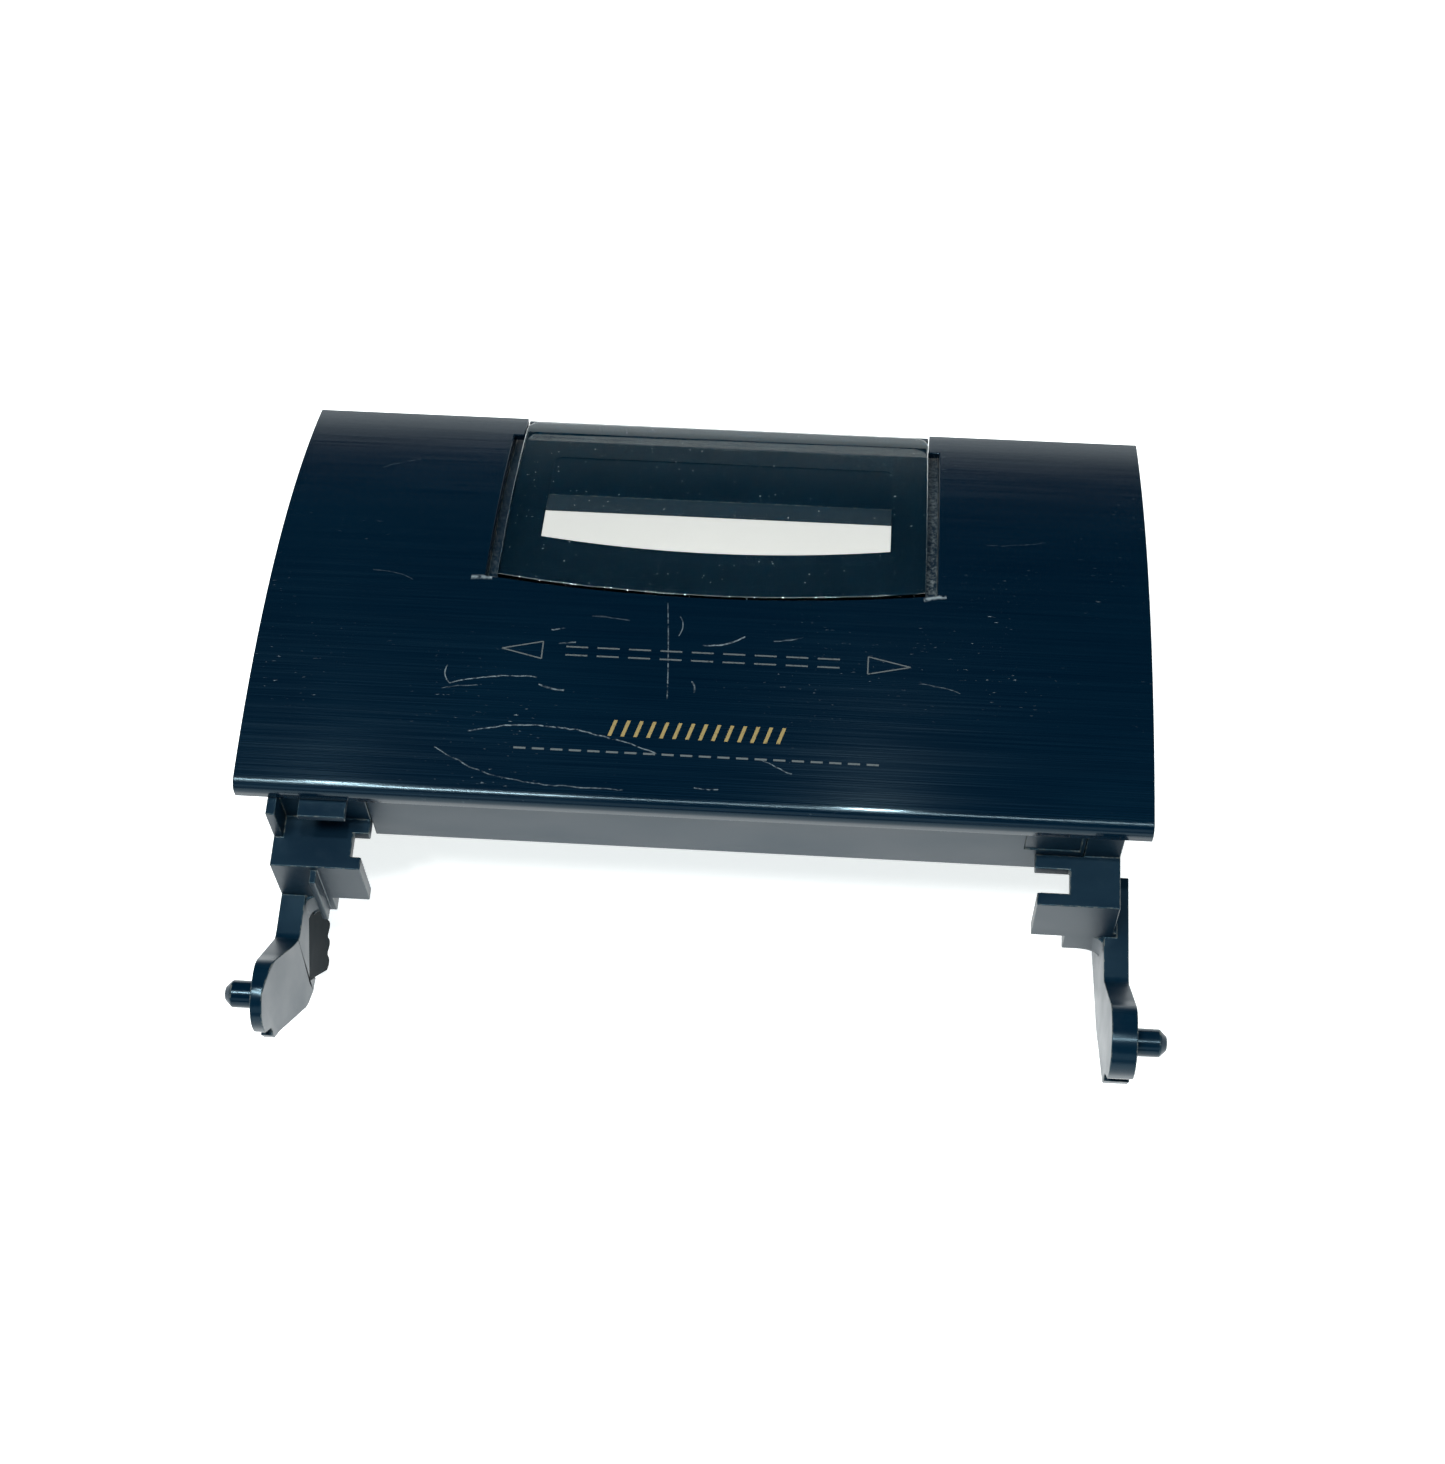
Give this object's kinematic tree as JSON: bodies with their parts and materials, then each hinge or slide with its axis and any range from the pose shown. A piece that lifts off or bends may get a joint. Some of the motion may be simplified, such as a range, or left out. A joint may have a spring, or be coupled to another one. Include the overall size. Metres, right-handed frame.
{
  "type": "cassette deck door",
  "caption": "Hi-fi cassette deck door: convex brushed panel with smoked window, carrier brackets, pivot arms with pins, damper sector and cassette leaf springs.",
  "frame": {"origin": "centre of the footprint, on the surface that the door lies on", "axes": "+X across the door to the user's right, +Y from the pivot arms towards the door's upper edge, +Z out of the front face, away from the deck"},
  "size_m": [0.1174, 0.0952, 0.041],
  "materials": {
    "anodised_panel": "black anodised, fine horizontal brushing",
    "smoked_acrylic": "smoked, polished",
    "black_print": "black screen print on the back of the window",
    "tape_foam": "double-sided foam tape",
    "black_abs": "moulded black ABS, satin",
    "black_acetal": "moulded black acetal, satin",
    "spring_steel": "tempered strip",
    "zinc_screw": "zinc plated, passivated",
    "felt": "black felt"
  },
  "bodies": {
    "door": {"front_panel": "anodised_panel", "window_lens": "smoked_acrylic", "window_mask": "black_print", "lower_panel_tape": "tape_foam", "middle_panel_tape": "tape_foam", "left_panel_tape": "tape_foam", "right_panel_tape": "tape_foam", "door_base": "black_abs", "left_bracket": "black_abs", "right_bracket": "black_abs", "damper_sector": "black_acetal", "rear_cross_rail": "black_abs", "left_lower_screw": "zinc_screw", "left_upper_screw": "zinc_screw", "left_rail_screw": "zinc_screw", "left_ledge_pad": "felt", "right_lower_screw": "zinc_screw", "right_upper_screw": "zinc_screw", "right_rail_screw": "zinc_screw", "right_ledge_pad": "felt"},
    "left_spring": {"left_cassette_spring": "spring_steel"},
    "right_spring": {"right_cassette_spring": "spring_steel"}
  },
  "joints": [
    {"name": "left_spring_flex", "type": "hinge", "parent": "door", "child": "left_spring", "pos_m": [-0.03798, -0.0051, 0.03605], "axis": [1, 0, 0], "range_deg": [0, 6.5], "stiffness_Nm_per_rad": 0.5},
    {"name": "right_spring_flex", "type": "hinge", "parent": "door", "child": "right_spring", "pos_m": [0.03803, -0.0051, 0.03605], "axis": [1, 0, 0], "range_deg": [0, 6.5], "stiffness_Nm_per_rad": 0.5}
  ]
}
